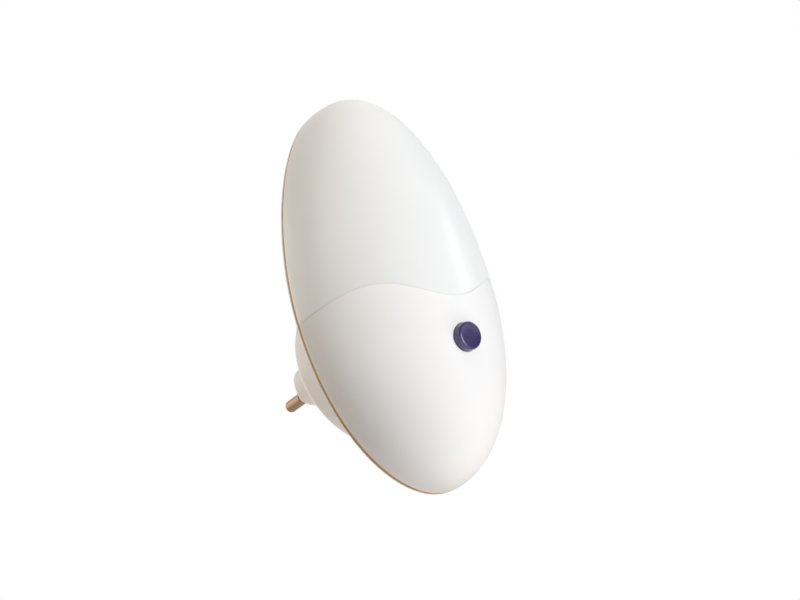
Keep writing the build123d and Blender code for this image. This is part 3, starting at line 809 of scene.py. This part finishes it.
def round_body():
    """The round plug body, hollowed at its foot and rounded at its rear edge."""
    foot = DRUM_RADIUS + DRUM_FOOT
    plate = RIM_GAP + PLATE_LIP
    profile = [(0, plate - OVERLAP), (foot, plate - OVERLAP), (foot, plate)]
    profile += arc((foot, plate + DRUM_FOOT), DRUM_FOOT, -90, -180)[1:]
    profile += arc((DRUM_RADIUS - DRUM_EDGE, DRUM_REAR - DRUM_EDGE), DRUM_EDGE, 0, 90, 14)
    profile += [(0, DRUM_REAR)]
    return lathe("round_body", profile, plug_frame(0, 0), 192)


def hole(name, radius, depth, mouth_y, x, z):
    """A round cutter along the plug's axis, its mouth lightly chamfered."""
    floor_y = mouth_y - depth
    outside = mouth_y + HOLE_BEYOND
    return lathe(name, [(0, floor_y), (radius, floor_y), (radius, mouth_y - HOLE_CHAMFER),
                        (radius + HOLE_CHAMFER + HOLE_BEYOND, outside), (0, outside)],
                 plug_frame(x, 0, z), 64)


def rear_housing():
    """Plate, round body and nose as one moulding with its holes, and the wall inside the shell."""
    housing = back_plate()
    for part in (plate_core(), round_body(), plug_nose()):
        cut(housing, part, "UNION")
    for side in (-1, 1):
        cut(housing, hole("well", WELL_RADIUS, WELL_DEPTH, DRUM_REAR,
                          side * WELL_PLACE[0], WELL_PLACE[1]))
        cut(housing, hole("pin_hole", SLEEVE_ROOT + PIN_HOLE_PLAY, PIN_HOLE_DEPTH, PLUG_FACE,
                          side * PIN_OFFSET, 0.0))
    housing.name = "rear_moulding"
    smooth(closed(housing))
    finish_piece(housing, "housing", "housing_plastic", HOUSING, "rear_housing")
    # the tongue is housing plastic; it carries the painted joint shade, not a colour of its own
    finish_piece(smooth(tongue()), "housing", "housing_plastic", JOINT_PAINTED_SHADE, "rear_housing")


# ------------------------------------------------------------------ button
def button_cap():
    """The round cap: a dished face, a small rounded edge and the stop flange behind the shell."""
    edge_middle = BUTTON_RADIUS - BUTTON_DRAFT - BUTTON_EDGE
    dish_rim = edge_middle - BUTTON_LIP
    shares = [i / DISH_STEPS for i in range(DISH_STEPS + 1)]
    profile = [(dish_rim * share, BUTTON_DISH * (1 - share ** DISH_POWER)) for share in shares]
    profile += arc((edge_middle, BUTTON_EDGE), BUTTON_EDGE, -90, 0, 10)
    front, rear = BUTTON_PROUD + FLANGE_FRONT, BUTTON_PROUD + FLANGE_REAR
    profile += [
        (BUTTON_RADIUS, BUTTON_PROUD), (BUTTON_RADIUS, front), (FLANGE_RADIUS, front),
        (FLANGE_RADIUS, rear), (0, rear),
    ]
    cap = smooth(lathe("button_cap_piece", profile, button_frame(-BUTTON_PROUD), 128))
    finish_piece(cap, "button", "button_plastic", BUTTON, "button_cap")


def return_spring():
    """The switch's coil, which in the real switch shortens by the button's travel; here it is copied as it
    stands into a piece with its own mesh.
    """
    coil = link("switch_spring_coil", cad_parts["switch_spring"].data.copy())
    finish_piece(coil, "housing", "spring_steel", INNER["switch_spring"], "switch_spring")
    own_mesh(coil)


# ------------------------------------------------------------------ pins
def plug_pins():
    """Both pins: a bare turned end with a rounded tip, and the sleeve with its wider root."""
    broken = PIN_BREAK
    covered = SLEEVE_LENGTH - PIN_COVERED
    inner = SLEEVE_RADIUS - SLEEVE_WALL
    for label, side in (("left", -1), ("right", 1)):
        base = plug_frame(side * PIN_OFFSET, PLUG_FACE)
        bare = [(0, covered), (PIN_NECK, covered), (PIN_NECK, SLEEVE_LENGTH),
                (PIN_RADIUS - broken, SLEEVE_LENGTH), (PIN_RADIUS, SLEEVE_LENGTH + broken)]
        tip = arc((PIN_RADIUS - PIN_TIP, PIN_LENGTH - PIN_TIP), PIN_TIP, 0, 90, 10)
        pin = smooth(lathe(f"{label}_pin_metal", bare + tip + [(0, PIN_LENGTH)], base, 72))
        finish_piece(pin, "housing", "pin_metal", PIN, f"{label}_pin")
        sleeve = smooth(lathe(f"{label}_sleeve", [
            (inner, -SLEEVE_ROOT_DEPTH), (SLEEVE_ROOT, -SLEEVE_ROOT_DEPTH),
            (SLEEVE_ROOT, -broken), (SLEEVE_ROOT - broken, 0),
            (SLEEVE_RADIUS + broken, 0), (SLEEVE_RADIUS, broken), (SLEEVE_RADIUS, SLEEVE_LENGTH - broken),
            (SLEEVE_RADIUS - broken, SLEEVE_LENGTH), (inner, SLEEVE_LENGTH)], base, 72))
        finish_piece(sleeve, "housing", "sleeve_plastic", SLEEVE, f"{label}_pin_sleeve")


# ------------------------------------------------------------------ screws and inner pieces
def all_screws():
    """The four sets of screws, each on the seats of its own holes."""
    tree = screw_tree()
    inward = Vector((0, 1, 0))
    wells = [RIM + Vector((side * WELL_PLACE[0], DRUM_REAR - WELL_DEPTH, WELL_PLACE[1] - RIM.z))
             for side in (-1, 1)]
    screws("housing_screw_group", tree, wells, inward, 10 * MM, SCREW_STEEL, "housing_screws")
    board = button_frame(BOARD_REAR)
    board_seats = [board @ Vector((side * BOARD_SCREW[0], -BOARD_SCREW[1], 0)) for side in (-1, 1)]
    screws("board_screw_group", tree, board_seats, board.col[2].to_3d(), 7 * MM, SCREW_STEEL,
           "power_board_screws")
    lamp_seats = [RIM + Vector((0, LAMP_BOARD_FRONT, height)) for height in LAMP_SCREW_HEIGHTS]
    screws("lamp_screw_group", tree, lamp_seats, -inward, 5.5 * MM, SCREW_STEEL, "lamp_board_screws")
    clamp_seat = [Vector((0, RIM.y + CLAMP_FACE, 0))]
    screws("clamp_screw_single", tree, clamp_seat, -inward, 4 * MM, SCREW_STEEL, "pin_clamp_screw")


def dress_inner_pieces():
    """Gives every node that still shows its own material."""
    for name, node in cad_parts.items():
        if not node.hide_render:
            node.data.materials.clear()
            node.data.materials.append(INNER[SHARED.get(name, name)])


# ------------------------------------------------------------------ studio
LAMPS = {
    # name: direction, distance, width and height of its face, power, colour
    "front": ((0.1, -0.99, -0.1), 1.1, (0.5, 0.5), 10.6, (0.88, 0.93, 1.0)),
    "top_left": ((-0.3, -0.4, 0.87), 1.1, (0.5, 0.5), 5.3, (1.0, 0.98, 0.97)),
    "left": ((-0.8, -0.2, 0.55), 1.1, (0.5, 0.5), 1.8, (1.0, 0.78, 0.5)),
    "below": ((0.4, -0.25, -0.88), 0.75, (0.5, 0.5), 1.6, (1.0, 0.9, 0.84)),
    "behind": ((-0.3, 0.95, -0.1), 1.1, (0.5, 0.5), 7.7, (1.0, 0.95, 0.89)),
}
CARDS = {
    # seen only in gloss, so that they shape the highlights and leave the colours alone
    "front_card": ((0.81, -0.55, 0.18), 1.1, (0.22, 0.5), 1.4, (1.0, 1.0, 1.0)),
    "rear_card": ((-0.6, 0.74, 0.31), 1.1, (1.1, 1.1), 5.0, (1.0, 0.97, 0.94)),
}
ROOM_LIGHT = 0.06          # the world's own light on the pieces
ROOM_IN_GLOSS = (0.1, 1.0)   # its strength as gloss shows it, in front and behind
ROOM_TURN = (-0.8, 0.1)    # where between front and back it changes over
FLOOR_REACH = 12.0
FLOOR_LEVEL = -0.8
FLOOR_GLOW = 0.8           # keeps the floor pale to the eye where no lamp reaches


def lamp(name, direction, distance, size, power, colour):
    """A soft oval studio lamp that stands towards direction and faces the night light."""
    data = bpy.data.lights.new(name, "AREA")
    data.shape = "ELLIPSE"
    data.size, data.size_y = size
    data.energy = power
    data.color = colour
    light = bpy.data.objects.new(name, data)
    bpy.context.scene.collection.objects.link(light)
    away = Vector(direction).normalized()
    light.location = RIM + away * distance
    light.rotation_mode = "QUATERNION"
    light.rotation_quaternion = (-away).to_track_quat("-Z", "Y")
    return light


def seen_rays(w):
    """The light path, and 1 for rays that see or mirror the surroundings."""
    path = w.node("ShaderNodeLightPath").outputs
    mirrored = w.math("MAXIMUM", path["Is Glossy Ray"], path["Is Transmission Ray"])
    return path, w.math("MAXIMUM", path["Is Camera Ray"], mirrored)


def floor_paint():
    """Pale matt paint that stays pale to the eye and still takes a shadow."""
    material, w, shader, place = new_material("floor_paint")
    _, uneven = mottled(w, place, (0.88, 0.88, 0.87), 0.004, 0.2)
    w.feed(shader.inputs["Base Color"], uneven)
    _, seen = seen_rays(w)
    w.feed(shader.inputs["Emission Strength"], w.math("MULTIPLY", seen, FLOOR_GLOW))
    set_shader(shader, {"Roughness": 0.95, "Emission_Color": (1, 1, 1, 1)})
    return material


def studio():
    """Lamps, gloss cards, a pale room and a pale floor."""
    for name, values in LAMPS.items():
        lamp(name, *values).visible_glossy = False
    for name, values in CARDS.items():
        lamp(name, *values).visible_diffuse = False
    world = bpy.data.worlds.new("studio")
    bpy.context.scene.world = world
    world.use_nodes = True
    w = Wiring(world.node_tree)
    path, seen = seen_rays(w)
    ahead = w.node("ShaderNodeSeparateXYZ")
    w.feed(ahead.inputs[0], w.node("ShaderNodeTexCoord").outputs["Generated"])
    room = w.made("ShaderNodeMapRange", {
        "Value": ahead.outputs["Y"], "From Min": ROOM_TURN[0], "From Max": ROOM_TURN[1],
        "To Min": ROOM_IN_GLOSS[0], "To Max": ROOM_IN_GLOSS[1]})
    shown = w.math("MAXIMUM", path["Is Camera Ray"], room)
    strength = w.node("ShaderNodeMix")
    w.feed(strength.inputs["Factor"], seen)
    strength.inputs["A"].default_value = ROOM_LIGHT
    w.feed(strength.inputs["B"], shown)
    background = world.node_tree.nodes["Background"]
    background.inputs["Color"].default_value = (1, 1, 1, 1)
    w.feed(background.inputs["Strength"], strength.outputs["Result"])
    floor_mesh = bpy.data.meshes.new("floor")
    corners = [(x * FLOOR_REACH, y * FLOOR_REACH, FLOOR_LEVEL)
               for x, y in ((-1, -1), (1, -1), (1, 1), (-1, 1))]
    floor_mesh.from_pydata(corners, [], [(0, 1, 2, 3)])
    floor = link("floor", floor_mesh)
    floor_mesh.materials.append(floor_paint())


def camera():
    """Seen from the front left and a little below, with the night light tilted in the frame."""
    azimuth, elevation, roll = radians(-38.93), radians(-18.02), radians(-16.7)
    distance, pixels_per_mm = 450 * MM, 3.22
    image_width, image_height = 800, 600
    middle = (384.08, 293.28)
    back = Vector((sin(azimuth) * cos(elevation), -cos(azimuth) * cos(elevation), sin(elevation)))
    right = Vector((cos(azimuth), sin(azimuth), 0))
    up = back.cross(right)
    turned_right = cos(roll) * right + sin(roll) * up
    turned_up = -sin(roll) * right + cos(roll) * up
    data = bpy.data.cameras.new("camera")
    data.sensor_width = 36
    data.lens = pixels_per_mm * distance / MM / image_width * data.sensor_width
    data.shift_x = (image_width / 2 - middle[0]) / image_width
    data.shift_y = (middle[1] - image_height / 2) / image_width
    data.clip_start, data.clip_end = 0.01, 20
    view = bpy.data.objects.new("camera", data)
    bpy.context.scene.collection.objects.link(view)
    view.rotation_mode = "QUATERNION"
    view.rotation_quaternion = Matrix((turned_right, turned_up, back)).transposed().to_quaternion()
    view.location = RIM + back * distance
    bpy.context.scene.camera = view


shells()
rear_housing()
button_cap()
return_spring()
plug_pins()
all_screws()
dress_inner_pieces()
studio()
camera()
bpy.context.scene.view_settings.view_transform = "Standard"
